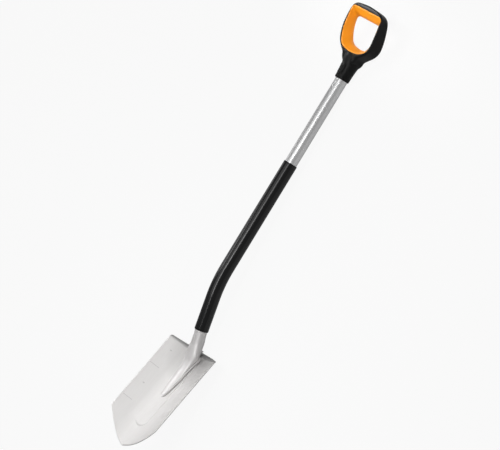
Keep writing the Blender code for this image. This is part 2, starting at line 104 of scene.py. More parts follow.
# Depth marks on the blade's left: height, middle and half length
LONG_MARKS = ((0.103, -0.075, 0.0130), (0.203, -0.075, 0.0130))
SHORT_MARKS = ((0.153, -0.068, 0.0024), (0.254, -0.068, 0.0024))
LONG_MARK_HALF_HEIGHT = 0.0007
SHORT_MARK_HALF_HEIGHT = 0.0014

# Shaft
TUBE_RADIUS = 0.0155
TUBE_WALL = 0.0016
BEND_HEIGHT = 0.450
BEND_ANGLE = math.radians(15.3)
BEND_RADIUS = 0.290
SOCKET_CONE_LENGTH = 0.138
# Socket cone from its tip: share of its length, centre in front of the blade, half width and
# half height
CONE_STATIONS = (
    (0.0, 0.0026, 0.0026, 0.0020),
    (0.055, 0.0029, 0.0047, 0.0028),
    (0.17, 0.0034, 0.0082, 0.0038),
    (0.29, 0.0038, 0.0105, 0.0047),
    (0.40, 0.0042, 0.0128, 0.0054),
    (0.52, 0.0047, 0.0136, 0.0061),
    (0.63, 0.0063, 0.0148, 0.0073),
    (0.75, 0.0092, 0.0178, 0.0096),
    (0.87, 0.0127, 0.0224, 0.0140),
    (0.95, 0.0172, 0.0206, 0.0154),
    (1.04, 0.0225, 0.0186, 0.0162),
    (1.087, 0.0258, 0.0176, 0.0167),
    (1.132, 0.0292, 0.0174, 0.0171),
    (1.184, 0.0334, 0.0171, 0.0171),
)
CONE_TOP_SWELL = 0.0008
CONE_TOP_BELOW_SLEEVE = 0.006
TUBE_BELOW_SLEEVE = 0.003
BORE_ABOVE_SLEEVE_END = 0.004
SLEEVE_WALL = 0.0016
SLEEVE_LIP = 0.0008
SLEEVE_LIP_STEPS = 5
SLEEVE_BOTTOM = 0.3265
SLEEVE_TOP = 0.779
SHAFT_SPACING = 0.006
GAP = 0.0003
ROUND_STEPS = 96
CONE_STEPS = 150

# Weld beads
BEAD_RADIUS = 0.0019
BEAD_LIFT = 1.15
BEAD_END_LEAST = 0.2
RIGHT_BEAD_FILL = 1.2
# The left bead is drawn out flat, so that the socket flows into the blade
LEFT_BEAD_HEIGHT = 0.0026
LEFT_BEAD_REACH = 0.0055
LEFT_BEAD_ROOT = 0.0004
LEFT_BEAD_END_LEAST = 0.1
BEAD_PAST_CONE_TIP = 0.002
BEAD_BELOW_BEND = 0.002
BEAD_RIPPLE = 0.06
BEAD_RIPPLE_SPACING = 0.0022
BEAD_ROUND_STEPS = 20
SIDE_BEAD_STEPS = 300
TREAD_BEAD_STEPS = 160
TREAD_BEAD_TURNS = (math.radians(216), math.radians(324))

# Handle, with heights above its socket's lower end
HANDLE_START = 1.0110
SOCKET_BORE_DEPTH = 0.046
SOCKET_RADIUS_AT_SCREW = 0.0194
HANDLE_SETBACK = (
    (0.0, -0.0008),
    (0.040, -0.0016),
    (0.055, -0.0045),
    (0.070, -0.0085),
    (0.085, -0.0098),
    (0.100, -0.0117),
    (0.120, -0.0172),
    (0.150, -0.0253),
    (0.184, -0.0345),
)
HANDLE_DEPTH = (
    (0.040, 0.036),
    (0.070, 0.034),
    (0.090, 0.0345),
    (0.105, 0.0370),
    (0.120, 0.0360),
    (0.150, 0.0315),
    (0.184, 0.0265),
)
# Hand opening from front to back: share of the depth, half width, top and bottom
OPENING_LOOPS = (
    (-0.94, 0.0560, 0.1693, 0.0702),
    (-0.60, 0.0556, 0.1652, 0.0745),
    (-0.15, 0.0552, 0.1592, 0.0806),
    (0.33, 0.0552, 0.1552, 0.0846),
    (0.94, 0.0572, 0.1546, 0.0855),
)
# Its outline's right half: share of the half width, and height above its bottom or below its top
OPENING_LOWER = (
    (0.0, 0.0),
    (0.30, 0.0012),
    (0.56, 0.0045),
    (0.78, 0.0120),
    (0.92, 0.0250),
    (0.985, 0.0400),
    (1.0, 0.0560),
)
OPENING_UPPER = (
    (0.995, 0.0150),
    (0.980, 0.0080),
    (0.940, 0.0032),
    (0.87, 0.0008),
    (0.74, 0.0),
    (0.40, 0.0),
    (0.0, 0.0),
)
OUTLINE_STEPS = 8
LINER_STEPS = 40
LINER_WALL = 0.0022
# On the right leg the liner's front rim stands behind the body's edge
RIM_SINK = 0.14
RIM_SINK_FROM = 0.80
RIM_SINK_TO = 0.97
BODY_VOXEL = 0.0008
BODY_SMOOTHING = 26
BODY_SMOOTHING_SHARE = 0.5
SCREW_HEIGHT = 0.024
SCREW_RADIUS = 0.0021
SCREW_HEAD_RADIUS = 0.0042
SCREW_HEAD_HEIGHT = 0.0012
SCREW_HEAD_EDGE = 0.0006
SCREW_EDGE_CUT = 0.3
SCREW_SINK = 0.0004
SCREW_PAST_WALL = 0.004
SCREW_TAPER = 0.0012
SCREW_POINT_SHARE = 0.6
RECESS_RADIUS = 0.0019
RECESS_LOBE = 0.0004
RECESS_LOBES = 6
RECESS_DEPTH = 0.0008

MERGE_DISTANCE = 0.000001
# Degrees between two faces from which their edge stays sharp
SHARP_FROM = 40
BLADE_SHARP_FROM = 50
SCREW_SHARP_FROM = 30

# The photograph's camera, in the spade's own frame
VIEW_AZIMUTH = math.radians(48.418)
VIEW_ELEVATION = math.radians(-0.630)
VIEW_ROLL = math.radians(31.346)
VIEW_AIM = Vector((0.0, 0.0, 0.6))
VIEW_ASIDE = -0.00681
VIEW_ABOVE = 0.00440
VIEW_DISTANCE = 15.0
VIEW_CLIP_END = 60.0
PIXELS_PER_METRE = 421.152
PICTURE_WIDTH = 500
SENSOR_WIDTH = 36.0

# Finishes: colour, roughness, metallic and specular level
BLADE_FINISH = ((0.88, 0.865, 0.855), 0.57, 0.5, 0.5)
WELD_FINISH = ((0.74, 0.72, 0.715), 0.46, 0.5, 0.5)
SLEEVE_FINISH = ((0.004, 0.004, 0.0045), 0.17, 0.0, 0.44)
BODY_FINISH = ((0.004, 0.004, 0.0042), 0.40, 0.0, 0.20)
LINER_FINISH = ((0.96, 0.355, 0.010), 0.48, 0.0, 0.35)
SCREW_FINISH = ((0.60, 0.60, 0.58), 0.35, 0.9, 0.5)

# The tube's finish at its socket and above the sleeve
SOCKET_COLOUR = (0.80, 0.785, 0.78)
SOCKET_ROUGHNESS = 0.46
SOCKET_METALLIC = 0.5
TUBE_COLOUR = (0.84, 0.84, 0.845)
TUBE_ROUGHNESS = 0.30
TUBE_METALLIC = 0.7
TUBE_SPECULAR = 0.5
FINISH_CHANGE = 0.02

# Grain of each finish: stretch, scale, height of the bumps and how much it tints
EVEN = (1.0, 1.0, 1.0)
BLADE_GRAIN = ((1.0, 0.03, 1.0), 900.0, 0.00003, 0.10)
TUBE_GRAIN = ((1.0, 1.0, 0.05), 700.0, 0.0000015, 0.08)
WELD_GRAIN = (EVEN, 900.0, 0.0001, 0.3)
SLEEVE_GRAIN = (EVEN, 1500.0, 0.00001, 0.2)
BODY_GRAIN = (EVEN, 2200.0, 0.00003, 0.2)
LINER_GRAIN = (EVEN, 1600.0, 0.00002, 0.05)
SCREW_GRAIN = (EVEN, 900.0, 0.00002, 0.15)
GRAIN_DETAIL = 4.0

# The blade is darker in its depth marks, and has painted shade round the socket, where its
# shadow falls, and along the tread's fold, where the bend turns from the light
MARK_TINT = -0.22
MARK_EDGE = 0.0004
# Painted shade round the socket, standing in for its shadow on the blade
PAINTED_SHADE_TINT = -0.4
PAINTED_SHADE_PLACE = (0.030, 0.300, 0.0)
PAINTED_SHADE_REACH = 0.120
PAINTED_SHADE_FADE = 0.085
# Painted shade along the tread's fold, where the bend turns from the light
FOLD_PAINTED_SHADE = -0.35
FOLD_SHADE_START = 0.280
FOLD_SHADE_FADE = 0.004

# Studio
AMBIENT = 0.30
REFLECTED = 0.27
FLOOR_COLOUR = (0.6, 0.6, 0.6, 1.0)
FLOOR_WHITE_SHARE = 0.92
FLOOR_REFLECTED_SHARE = 0.12
FLOOR_HALF_SIZE = 20.0
# Lamps: name, where each stands, what it faces, size, spread in degrees and power
LAMPS = (
    ("lamp_top", (-0.20, 0.0, 2.20), (-0.20, 0.0, 0.0), (1.5, 1.5), 180, 6.8),
    ("lamp_blade", (-0.12, 1.00, 1.18), (-0.48, 0.0, 0.03), (0.5, 0.7), 34, 0.275),
    ("lamp_sleeve", (-0.35, -0.60, 1.80), (-0.35, 0.0, 0.05), (1.0, 0.25), 180, 6.0),
    ("lamp_tube", (0.30, -0.72, 1.75), (0.30, 0.0, 0.05), (0.6, 0.5), 60, 0.34),
    ("lamp_left", (0.0, 1.50, 0.50), (-0.30, 0.0, 0.03), (0.6, 0.4), 70, 0.20),
    ("lamp_handle", (0.58, 0.50, 0.49), (0.560, 0.0, 0.050), (0.14, 0.42), 22, 0.180),
    ("lamp_opening", (0.75, -0.46, 0.52), (0.545, 0.0, 0.05), (0.12, 0.12), 24, 0.043),
)

for item in list(bpy.data.objects):
    bpy.data.objects.remove(item, do_unlink=True)

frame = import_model()


# Measures


def smooth_step(value):
    value = min(max(value, 0.0), 1.0)
    return value * value * (3 - 2 * value)


def rounded_end(share, least):
    """Size of a round end, 1 where it is full, at a share of its length from its tip."""
    return max(math.sqrt(max(1 - max(1 - share, 0.0) ** 2, 0.0)), least)


def even_places(start, end, steps):
    return [start + (end - start) * step / steps for step in range(steps + 1)]


def through(stations, at):
    """Smooth value at one place from a list of (place, value) stations in rising order."""
    if at <= stations[0][0]:
        return stations[0][1]
    for index in range(len(stations) - 1):
        start, end = stations[index], stations[index + 1]
        if at <= end[0]:
            before = stations[max(index - 1, 0)]
            after = stations[min(index + 2, len(stations) - 1)]
            span = end[0] - start[0]
            share = (at - start[0]) / span
            rise_in = (end[1] - before[1]) / (end[0] - before[0]) * span
            rise_out = (after[1] - start[1]) / (after[0] - start[0]) * span
            return (
                (2 * share**3 - 3 * share**2 + 1) * start[1]
                + (share**3 - 2 * share**2 + share) * rise_in
                + (3 * share**2 - 2 * share**3) * end[1]
                + (share**3 - share**2) * rise_out
            )
    return stations[-1][1]


def sizes_through(stations, at):
    """Smooth values at one place from stations of (place, value, value, ...)."""
    return [
        through([(station[0], station[column]) for station in stations], at)
        for column in range(1, len(stations[0]))
    ]


def straight_through(places, values, at):
    """Value between places joined by straight lines."""
    for index in range(len(places) - 1):
        if at <= places[index + 1]:
            share = (at - places[index]) / (places[index + 1] - places[index])
            return values[index] + (values[index + 1] - values[index]) * share
    return values[-1]


def from_blade(across, up, out):
    """Point in the spade's frame from one in the blade's: across, up along it, out of its front."""
    return Vector((
        across,
        TIP_SETBACK + up * math.sin(BLADE_LEAN) - out * math.cos(BLADE_LEAN),
        up * math.cos(BLADE_LEAN) + out * math.sin(BLADE_LEAN),
    ))


def to_blade(y, z):
    """(up, out) in the blade's frame of a point in the spade's middle plane."""
    back = y - TIP_SETBACK
    up = back * math.sin(BLADE_LEAN) + z * math.cos(BLADE_LEAN)
    out = z * math.sin(BLADE_LEAN) - back * math.cos(BLADE_LEAN)
    return up, out


def round_dish(across):
    return DISH_DEPTH * (abs(across) / (BLADE_WIDTH / 2)) ** DISH_EXPONENT


FACET_DEPTHS = [round_dish(place) for place in FACET_PLACES]


def dish(across):
    """Depth of the dish: a round curve drawn towards flat bands with soft creases."""
    flat = 0.0
    sides = (-1, 0, 1)
    for side in sides:
        place = abs(abs(across) + CREASE_SOFTNESS * side)
        flat += straight_through(FACET_PLACES, FACET_DEPTHS, place) / len(sides)
    return round_dish(across) * (1 - FACET_SHARE) + flat * FACET_SHARE


def tongue(across, up):
    """Height of the pressed tongue, crisp at its end and right side and fading out to the left."""
    centre = TONGUE_END + TONGUE_HALF_WIDTH
    reach = math.hypot(across, min(up - centre, 0.0))
    left = smooth_step(-TONGUE_FADE_LEFT * across / TONGUE_HALF_WIDTH)
    above = smooth_step(TONGUE_FADE_UP * (up - TONGUE_END) / TONGUE_HALF_WIDTH)
    wall = TONGUE_WALL + (TONGUE_LEFT_WALL - TONGUE_WALL) * (left * above)
    return TONGUE_HEIGHT * smooth_step((TONGUE_HALF_WIDTH - reach) / wall + 0.5)


def point_outline(across):
    """Height of the blade's pointed lower edge."""
    half = BLADE_WIDTH / 2
    curve = (POINT_LENGTH - POINT_START_SLOPE * half) / half**2
    return POINT_START_SLOPE * abs(across) + curve * across**2


def blade_front(across, up):
    return dish(across) + tongue(across, up)


def tread_bend_start(across):
    """Height at which the blade starts to bend into the tread."""
    half = BLADE_WIDTH / 2
    return BLADE_LENGTH - TREAD_RADIUS + TREAD_RISE * (1 - (across / half) ** 2)


def tread_run(across):
    """Length of sheet from the start of the tread's bend to its rear edge."""
    half, half_straight = BLADE_WIDTH / 2, TREAD_STRAIGHT_WIDTH / 2
    share = min(max((abs(across) - half_straight) / (half - half_straight), 0.0), 1.0)
    corner = blade_front(half, tread_bend_start(half)) - TREAD_CORNER_TURN
    rear = -TREAD_SETBACK + (corner + TREAD_SETBACK) * share
    behind = blade_front(across, tread_bend_start(across)) - rear
    arc_depth = TREAD_RADIUS * (1 - math.cos(TREAD_BEND))
    if behind < arc_depth:
        return TREAD_RADIUS * math.acos(1 - behind / TREAD_RADIUS) - TREAD_EDGE_TRIM
    run = TREAD_RADIUS * TREAD_BEND + (behind - arc_depth) / math.sin(TREAD_BEND)
    return run - TREAD_EDGE_TRIM


def within_corner(across, left):
    """Place across the tread drawn in at its rounded corners.

    left is the length of sheet from there to the tread's rear edge.
    """
    inner = BLADE_WIDTH / 2 - TREAD_CORNER_ROUND
    if abs(across) <= inner or left >= TREAD_CORNER_ROUND:
        return across
    reach = rounded_end(left / TREAD_CORNER_ROUND, TREAD_CORNER_LEAST)
    return math.copysign(inner + (abs(across) - inner) * reach, across)


def tread_point(across, run):
    """Point of the tread at a length of sheet from the start of its bend."""
    bend = tread_bend_start(across)
    base = blade_front(across, bend)
    turn = min(run / TREAD_RADIUS, TREAD_BEND)
    flat = run - TREAD_RADIUS * turn
    up = bend + TREAD_RADIUS * math.sin(turn) + flat * math.cos(TREAD_BEND)
    behind = TREAD_RADIUS * (1 - math.cos(turn)) + flat * math.sin(TREAD_BEND)
    return from_blade(across, up, base - behind)


def blade_point(across, row):
    """Point of the blade's front, in the fan above the point, the straight part or the tread."""
    level = POINT_LENGTH + POINT_MARGIN
    bend = tread_bend_start(across)
    if row <= POINT_ROWS:
        low = point_outline(across)
        up = low + (level - low) * row / POINT_ROWS
    elif row <= POINT_ROWS + BLADE_ROWS:
        up = level + (bend - level) * (row - POINT_ROWS) / BLADE_ROWS
    else:
        total = tread_run(across)
        run = total * (row - POINT_ROWS - BLADE_ROWS) / TREAD_ROWS
        return tread_point(within_corner(across, total - run), run)
    return from_blade(across, up, blade_front(across, up))


def axis_point(height):
    """Point and direction of the shaft's axis at a height on the straightened shaft."""
    bend_length = BEND_RADIUS * BEND_ANGLE
    bend_tangent = BEND_RADIUS * math.tan(BEND_ANGLE / 2)
    upper_end = BEND_HEIGHT + bend_tangent
    if height >= upper_end:
        return Vector((0, 0, height)), Vector((0, 0, 1))
    run = upper_end - height
    if run < bend_length:
        turn = run / BEND_RADIUS
        back = BEND_RADIUS * (1 - math.cos(turn))
        point = Vector((0, back, upper_end - BEND_RADIUS * math.sin(turn)))
        return point, Vector((0, -math.sin(turn), math.cos(turn)))
    down = Vector((0, math.sin(BEND_ANGLE), -math.cos(BEND_ANGLE)))
    return Vector((0, 0, BEND_HEIGHT)) + down * (bend_tangent + run - bend_length), -down


def cone_stations():
    """Socket cone in the blade's own frame: up, centre out, half width, half height."""
    tip = BLADE_LENGTH - SOCKET_CONE_LENGTH
    stations = [(tip + share * SOCKET_CONE_LENGTH, *sizes) for share, *sizes in CONE_STATIONS]
    centre = axis_point(SLEEVE_BOTTOM - CONE_TOP_BELOW_SLEEVE)[0]
    top_up, top_out = to_blade(centre.y, centre.z)
    top_radius = TUBE_RADIUS + CONE_TOP_SWELL
    return stations + [(top_up, top_out - CONE_TOP_SWELL, top_radius, top_radius)]


def cone_sizes(up):
    """Centre, half width and half height of the cone."""
    return sizes_through(cone_stations(), up)


def from_handle(across, height, share):
    """Point of the handle, share running from -1 at its front to 1 at its back."""
    setback = through(HANDLE_SETBACK, height) + share * through(HANDLE_DEPTH, height) / 2
    return Vector((across, setback, HANDLE_START + height))


def rounded_outline(half_outline):
    """Closed outline from the (across, height) points of its right half, rounded through them."""
    off_middle = [corner for corner in reversed(half_outline) if corner[0] > MERGE_DISTANCE]
    closed = list(half_outline) + [(-across, height) for across, height in off_middle]
    count = len(closed)
    points = []
    for index in range(count):
        corners = (Vector(closed[(index + offset) % count]) for offset in (-1, 0, 1, 2))
        before, start, end, after = corners
        for step in range(OUTLINE_STEPS):
            share = step / OUTLINE_STEPS
            slope = (end - before) * share
            curve = (2 * before - 5 * start + 4 * end - after) * share**2
            twist = (3 * start - before - 3 * end + after) * share**3
            points.append(start + 0.5 * (slope + curve + twist))
    return points


def opening_outline(share, grow):
    """Outline of the hand opening at one depth, moved outward by grow."""
    side, top, bottom = sizes_through(OPENING_LOOPS, share)
    side, top, bottom = side + grow, top + grow, bottom - grow
    lower = [(side * part, bottom + above) for part, above in OPENING_LOWER]
    return rounded_outline(lower + [(side * part, top - below) for part, below in OPENING_UPPER])


# Pieces


def finish_piece(name, shape, look, nodes, sharp=SHARP_FROM):
    """Put a drawn shape in the world as one piece."""
    bmesh.ops.transform(shape, matrix=SPADE_TO_WORLD, verts=shape.verts)
    mesh = bpy.data.meshes.new(name)
    shape.to_mesh(mesh)
    shape.free()
    mesh.materials.append(look)
    mesh.shade_smooth()
    mesh.set_sharp_from_angle(angle=math.radians(sharp))
    made = bpy.data.objects.new(name, mesh)
    bpy.context.scene.collection.objects.link(made)
    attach(made, "root")
    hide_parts(*nodes)
    return made


def roll_up(sections, steps=ROUND_STEPS):
    """A grid rolled up through the sections, each of which gives its point for an angle."""
    shape = bmesh.new()
    last = len(sections) - 1
    bmesh.ops.create_grid(shape, x_segments=steps, y_segments=last, size=0.5)
    for corner in shape.verts:
        angle = 2 * math.pi * (corner.co.x + 0.5)
        corner.co = sections[round((corner.co.y + 0.5) * last)](angle)
    bmesh.ops.remove_doubles(shape, verts=shape.verts, dist=MERGE_DISTANCE)
    bmesh.ops.holes_fill(shape, edges=[edge for edge in shape.edges if edge.is_boundary])
    bmesh.ops.recalc_face_normals(shape, faces=shape.faces)
    if shape.calc_volume(signed=True) < 0:
        bmesh.ops.reverse_faces(shape, faces=shape.faces)
    return shape


def round_section(height, radius):
    centre, along = axis_point(height)
    side = Vector((1, 0, 0))
    front = side.cross(along)
    return lambda angle: centre + side * radius * math.cos(angle) + front * radius * math.sin(angle)


def cone_section(up):
    centre, half_width, half_height = cone_sizes(up)

    def point(angle):
        across = half_width * math.cos(angle)
        out = centre + half_height * math.sin(angle)
        if up < BLADE_LENGTH:
            out = max(out, blade_front(across, up) + GAP)
        return from_blade(across, up, out)

    return point


def shaft_places(bottom, top):
    """Heights for the sections of the shaft."""
    return even_places(bottom, top, max(round((top - bottom) / SHAFT_SPACING), 1))


def make_blade(look):
    shape = bmesh.new()
    rows = POINT_ROWS + BLADE_ROWS + TREAD_ROWS
    bmesh.ops.create_grid(shape, x_segments=BLADE_COLUMNS, y_segments=rows, size=0.5)
    for corner in shape.verts:
        corner.co = blade_point(BLADE_WIDTH * corner.co.x, round((corner.co.y + 0.5) * rows))
    bmesh.ops.recalc_face_normals(shape, faces=shape.faces)
    centre = from_blade(0, POINT_LENGTH, 0)
    middle = min(shape.faces, key=lambda face: (face.calc_center_median() - centre).length)
    if middle.normal.y > 0:
        bmesh.ops.reverse_faces(shape, faces=shape.faces)
    made = finish_piece("blade_pressed", shape, look, ["blade"], BLADE_SHARP_FROM)
    wall = made.modifiers.new("sheet", "SOLIDIFY")
    wall.thickness = SHEET
    wall.offset = -1
    wall.use_even_offset = True


def make_tube(look):
    top = HANDLE_START + SOCKET_BORE_DEPTH - GAP * 2
    stations = cone_stations()
    cone = even_places(stations[0][0], stations[-1][0], CONE_STEPS)[:-1]
    outside = shaft_places(SLEEVE_BOTTOM - TUBE_BELOW_SLEEVE, top)
    bore = shaft_places(SLEEVE_BOTTOM + BORE_ABOVE_SLEEVE_END, top)
    sections = [cone_section(up) for up in cone]
    sections += [round_section(height, TUBE_RADIUS) for height in outside]
    sections += [round_section(height, TUBE_RADIUS - TUBE_WALL) for height in reversed(bore)]
    finish_piece("shaft_tube_drawn", roll_up(sections), look, ["shaft_tube"])


def make_sleeve(look):
    inner = TUBE_RADIUS + GAP
    outer = inner + SLEEVE_WALL
    # Each section of a lip by its drop below the outside and its place in from the end
    lip = [
        (SLEEVE_LIP * (1 - math.sin(turn)), SLEEVE_LIP * (1 - math.cos(turn)))
        for turn in even_places(0.0, math.pi / 2, SLEEVE_LIP_STEPS)
    ]
    middle = shaft_places(SLEEVE_BOTTOM + SLEEVE_LIP, SLEEVE_TOP - SLEEVE_LIP)
    sections = [round_section(SLEEVE_BOTTOM + draw, outer - drop) for drop, draw in lip]
    sections += [round_section(height, outer) for height in middle[1:-1]]
    sections += [round_section(SLEEVE_TOP - draw, outer - drop) for drop, draw in reversed(lip)]
    inside = [SLEEVE_TOP] + middle[-2:0:-1] + [SLEEVE_BOTTOM]
    sections += [round_section(height, inner) for height in inside]
    sections.append(sections[0])
    finish_piece("grip_sleeve_smooth", roll_up(sections), look, ["grip_sleeve"])


def bead_sections(path, radius):
    """Sections of a weld bead along a path, with ripples and round ends."""
    sections = []
    run = 0.0
    length = sum((after - before).length for before, after in zip(path, path[1:]))

    def section(centre, side, up, size):
        return lambda angle: centre + side * size * math.cos(angle) + up * size * math.sin(angle)

    for index, centre in enumerate(path):
        before, after = path[max(index - 1, 0)], path[min(index + 1, len(path) - 1)]
        if index:
            run += (centre - before).length
        along = (after - before).normalized()
        side = along.cross(Vector((0, 1, 0))).normalized()
        rounding = rounded_end(min(run, length - run) / (radius * 2), BEAD_END_LEAST)
        ripple = math.sin(2 * math.pi * run / BEAD_RIPPLE_SPACING) - 1
        size = radius * rounding * (1 + BEAD_RIPPLE * ripple)
        sections.append(section(centre, side, side.cross(along), size))
    return sections


def side_bead_ups():
    """Heights on the blade for the sections of the two side beads."""
    start = BLADE_LENGTH - SOCKET_CONE_LENGTH + BEAD_PAST_CONE_TIP
    end = BLADE_LENGTH - TREAD_RADIUS - BEAD_BELOW_BEND
    return even_places(start, end, SIDE_BEAD_STEPS)


def make_right_bead(look):
    clear = BEAD_RADIUS + GAP
    path = []
    for up in side_bead_ups():
        centre, half_width, half_height = cone_sizes(up)
        out = blade_front(half_width, up) + clear * BEAD_LIFT
        rise = min(abs(out - centre) / (half_height + clear), 1.0)
        across = (half_width + clear) * math.sqrt(1 - rise**2) + GAP
        path.append(from_blade(across, up, out))
    shape = roll_up(bead_sections(path, BEAD_RADIUS * RIGHT_BEAD_FILL), BEAD_ROUND_STEPS)
    finish_piece("weld_bead_right", shape, look, ["weld_right"])


def make_left_bead(look):
    ups = side_bead_ups()

    def section(up):
        centre, half_width, half_height = cone_sizes(up)
        out = blade_front(half_width, up) + LEFT_BEAD_HEIGHT / 2
        edge = half_width * math.sqrt(1 - min(abs(out - centre) / half_height, 1.0) ** 2)
        end = min(up - ups[0], ups[-1] - up) / LEFT_BEAD_REACH
        full = rounded_end(end, LEFT_BEAD_END_LEAST)

        def point(angle):
            share = math.cos(angle)
            reach = LEFT_BEAD_REACH * full if share > 0 else min(LEFT_BEAD_REACH, edge)
            across = edge + share * reach
            if math.sin(angle) > 0:
                above = LEFT_BEAD_HEIGHT * full * (0.5 + 0.5 * math.cos(math.pi * share))
            else:
                above = LEFT_BEAD_ROOT * math.sin(angle)
            return from_blade(-across, up, blade_front(-across, up) + above)

        return point

    shape = roll_up([section(up) for up in ups], 2 * BEAD_ROUND_STEPS)
    finish_piece("weld_bead_left", shape, look, ["weld_left"])


def make_tread_bead(look):
    up = BLADE_LENGTH + TREAD_RISE + BEAD_RADIUS + GAP
    centre, half_width, half_height = cone_sizes(up)
    clear = BEAD_RADIUS + GAP
    path = []
    for turn in even_places(*TREAD_BEAD_TURNS, TREAD_BEAD_STEPS):
        across = (half_width + clear) * math.cos(turn)
        out = centre + (half_height + clear) * math.sin(turn)
        path.append(from_blade(across, up, out))
    shape = roll_up(bead_sections(path, BEAD_RADIUS), BEAD_ROUND_STEPS)
    finish_piece("weld_bead_tread", shape, look, ["weld_tread"])


def make_liner(look):
    """The handle's orange inner grip, a wall between two loops of the opening."""
    front, back = OPENING_LOOPS[0][0], OPENING_LOOPS[-1][0]
    count = len(opening_outline(0.0, 0.0))

    def wall_section(share, grow):
        outline = opening_outline(share, grow)
        side = max(point.x for point in outline)

        def point(angle):
            across, height = outline[round(angle / (2 * math.pi) * count) % count]
            past = (across / side - RIM_SINK_FROM) / (RIM_SINK_TO - RIM_SINK_FROM)
            sunk = RIM_SINK * smooth_step(past)
            return from_handle(across, height, share + sunk * (back - share) / (back - front))

        return point

    shares = even_places(front, back, LINER_STEPS)
    sections = [wall_section(share, LINER_WALL) for share in shares]
    sections += [wall_section(share, 0.0) for share in reversed(shares)]
    sections.append(sections[0])
    shape = roll_up(sections, count)
    finish_piece("handle_liner_smooth", shape, look, ["handle_liner"])


def make_body(look):
    """The handle's body from its own solid, remeshed and smoothed so that its joins flow."""
    mesh = frame["nodes"]["handle_body"].data.copy()
    shape = bmesh.new()
    shape.from_mesh(mesh)
    bmesh.ops.remove_doubles(shape, verts=shape.verts, dist=MERGE_DISTANCE)
    bmesh.ops.recalc_face_normals(shape, faces=shape.faces)
    shape.to_mesh(mesh)
    shape.free()
    mesh.materials.clear()
    mesh.materials.append(look)
    made = bpy.data.objects.new("handle_body_moulded", mesh)
    bpy.context.scene.collection.objects.link(made)
    remesh = made.modifiers.new("voxels", "REMESH")
    remesh.mode = "VOXEL"
    remesh.voxel_size = BODY_VOXEL
    soften = made.modifiers.new("soften", "SMOOTH")
    soften.factor = BODY_SMOOTHING_SHARE
    soften.iterations = BODY_SMOOTHING
    graph = bpy.context.evaluated_depsgraph_get()
    smooth = bpy.data.meshes.new_from_object(made.evaluated_get(graph))
    made.modifiers.clear()
    made.data = smooth
    smooth.shade_smooth()
    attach(made, "root")
    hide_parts("handle_body")


def make_screw(look):
    back = through(HANDLE_SETBACK, SCREW_HEIGHT) + SOCKET_RADIUS_AT_SCREW - SCREW_SINK
    point = TUBE_RADIUS - TUBE_WALL - SCREW_PAST_WALL
    seat = back - SCREW_HEAD_HEIGHT
    cut = SCREW_HEAD_EDGE * SCREW_EDGE_CUT
    # From the point to the recess: place, radius and depth of the lobes
    profile = (
        (point, SCREW_RADIUS * SCREW_POINT_SHARE, 0.0),
        (point + SCREW_TAPER, SCREW_RADIUS, 0.0),
        (seat, SCREW_RADIUS, 0.0),
        (seat, SCREW_HEAD_RADIUS, 0.0),
        (back - SCREW_HEAD_EDGE, SCREW_HEAD_RADIUS, 0.0),
        (back - cut, SCREW_HEAD_RADIUS - cut, 0.0),
        (back, SCREW_HEAD_RADIUS - SCREW_HEAD_EDGE, 0.0),
        (back, RECESS_RADIUS + RECESS_LOBE, RECESS_LOBE),
        (back - RECESS_DEPTH, RECESS_RADIUS, RECESS_LOBE),
    )

    def section(setback, radius, lobe):
        def at(angle):
            reach = radius + lobe * math.cos(RECESS_LOBES * angle)
            height = HANDLE_START + SCREW_HEIGHT + reach * math.sin(angle)
            return Vector((reach * math.cos(angle), setback, height))

        return at

    shape = roll_up([section(*ring) for ring in profile])
    finish_piece("handle_screw_cut", shape, look, ["handle_screw"], SCREW_SHARP_FROM)


# Finishes


def group(name, inputs, outputs):
    """An empty node group, with its inputs as given inside it and its outputs to fill."""
    made = bpy.data.node_groups.new(name, "ShaderNodeTree")
    for label, kind, value in inputs:
        socket = made.interface.new_socket(label, in_out="INPUT", socket_type="NodeSocket" + kind)
        if value is not None:
            socket.default_value = value
    for label, kind in outputs:
        made.interface.new_socket(label, in_out="OUTPUT", socket_type="NodeSocket" + kind)
    return made, made.nodes.new("NodeGroupInput").outputs, made.nodes.new("NodeGroupOutput").inputs


def maths(tree, operation, first, second=None):
    node = tree.nodes.new("ShaderNodeMath")
    node.operation = operation
    for socket, value in zip(node.inputs, (first, second)):
        if isinstance(value, bpy.types.NodeSocket):
            tree.links.new(value, socket)
        elif value is not None:
            socket.default_value = value
    return node.outputs[0]


def between(tree, value):
    """The value kept between 0 and 1."""
    node = tree.nodes.new("ShaderNodeClamp")
    tree.links.new(value, node.inputs["Value"])
    return node.outputs[0]


def ramp(tree, value, start, length):
    """Share of a length by which the value is past its start, kept between 0 and 1."""
    past = maths(tree, "SUBTRACT", value, start)
    return between(tree, maths(tree, "DIVIDE", past, length))


def use(tree, node_tree, values):
    """Outputs of a node group placed in the tree."""
    node = tree.nodes.new("ShaderNodeGroup")
    node.node_tree = node_tree
    for label, value in values.items():
        if isinstance(value, bpy.types.NodeSocket):
            tree.links.new(value, node.inputs[label])
        else:
            node.inputs[label].default_value = value
    return node.outputs


